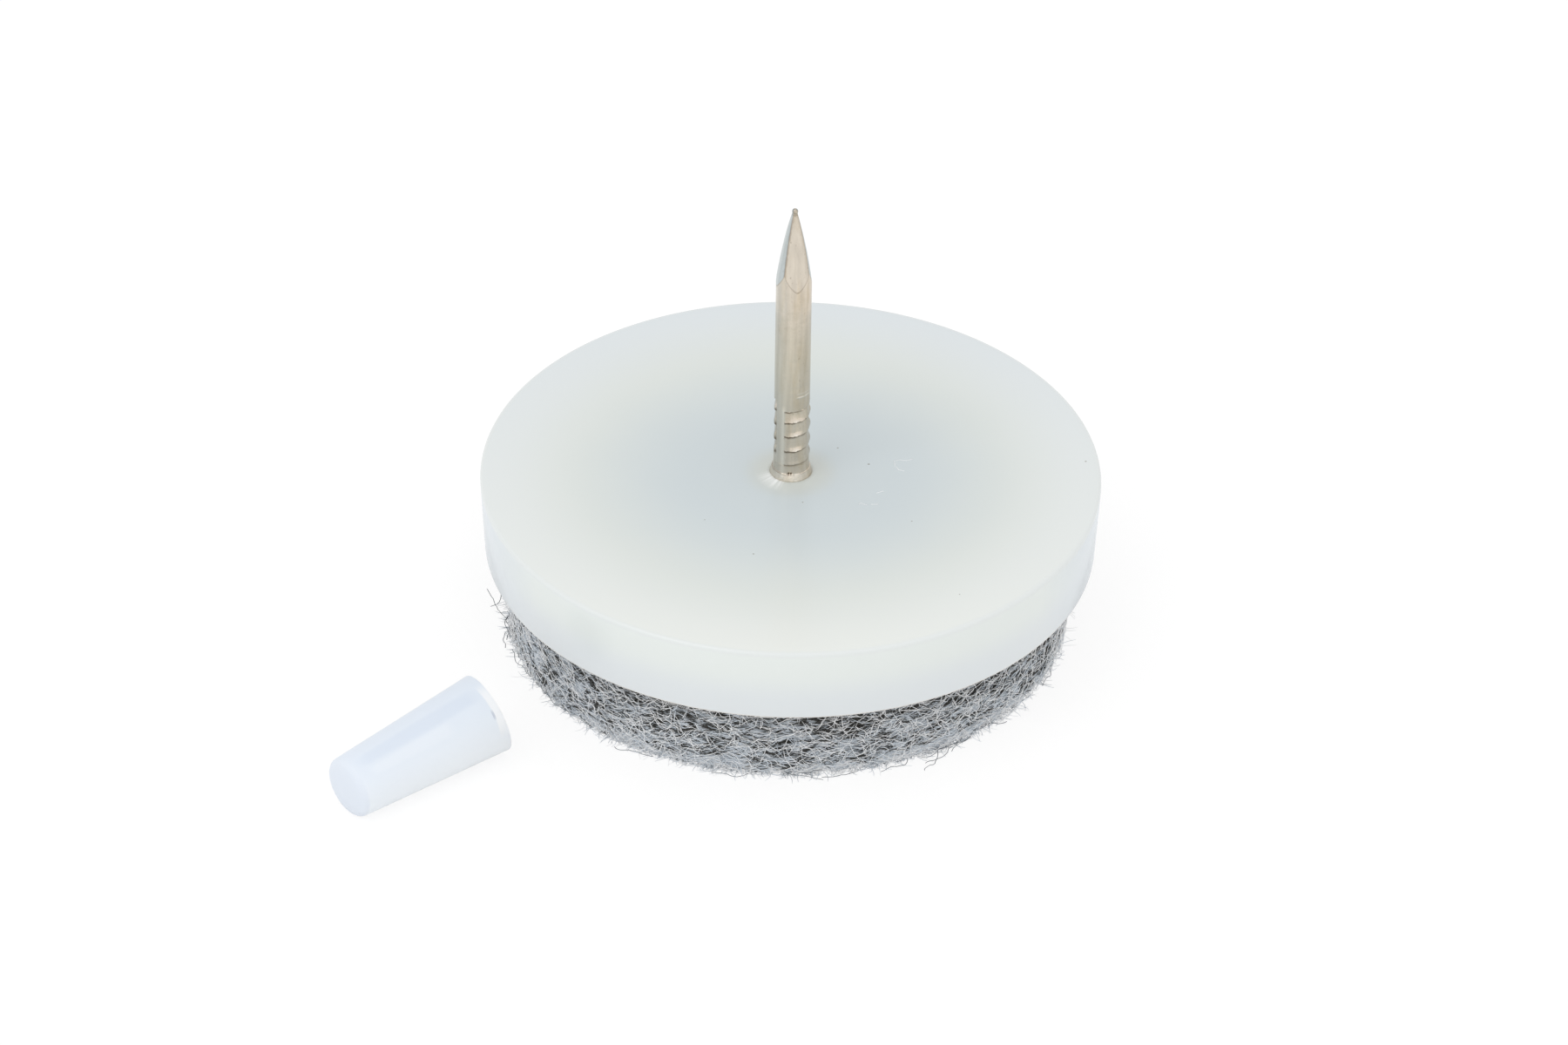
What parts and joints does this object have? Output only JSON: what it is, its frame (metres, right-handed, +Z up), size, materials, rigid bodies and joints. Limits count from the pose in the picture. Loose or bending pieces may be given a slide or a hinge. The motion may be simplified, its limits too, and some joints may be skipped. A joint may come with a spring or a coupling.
{
  "type": "nail-on furniture glide",
  "caption": "Round milky plastic furniture glide with a thick felt pad below, a barbed nail above to drive into a leg, and a loose tapered cap for the nail's point.",
  "frame": {"origin": "centre of the felt pad's underside, on the floor", "axes": "+Z up along the nail towards its tip, -Y towards the viewer of the picture, +X to that viewer's right"},
  "size_m": [0.0426, 0.0388, 0.0271],
  "materials": {
    "disc_plastic": "milky translucent polyethylene, moulded smooth",
    "felt": "grey mixed-fibre needle felt, cut edge with loose fibres",
    "nail_plating": "warm nickel plate over drawn wire",
    "cap_plastic": "soft translucent polyethylene, moulded"
  },
  "bodies": {
    "root": {"base_disc": "disc_plastic", "felt_pad": "felt", "nail": "nail_plating", "point_cap": "cap_plastic"}
  },
  "joints": []
}
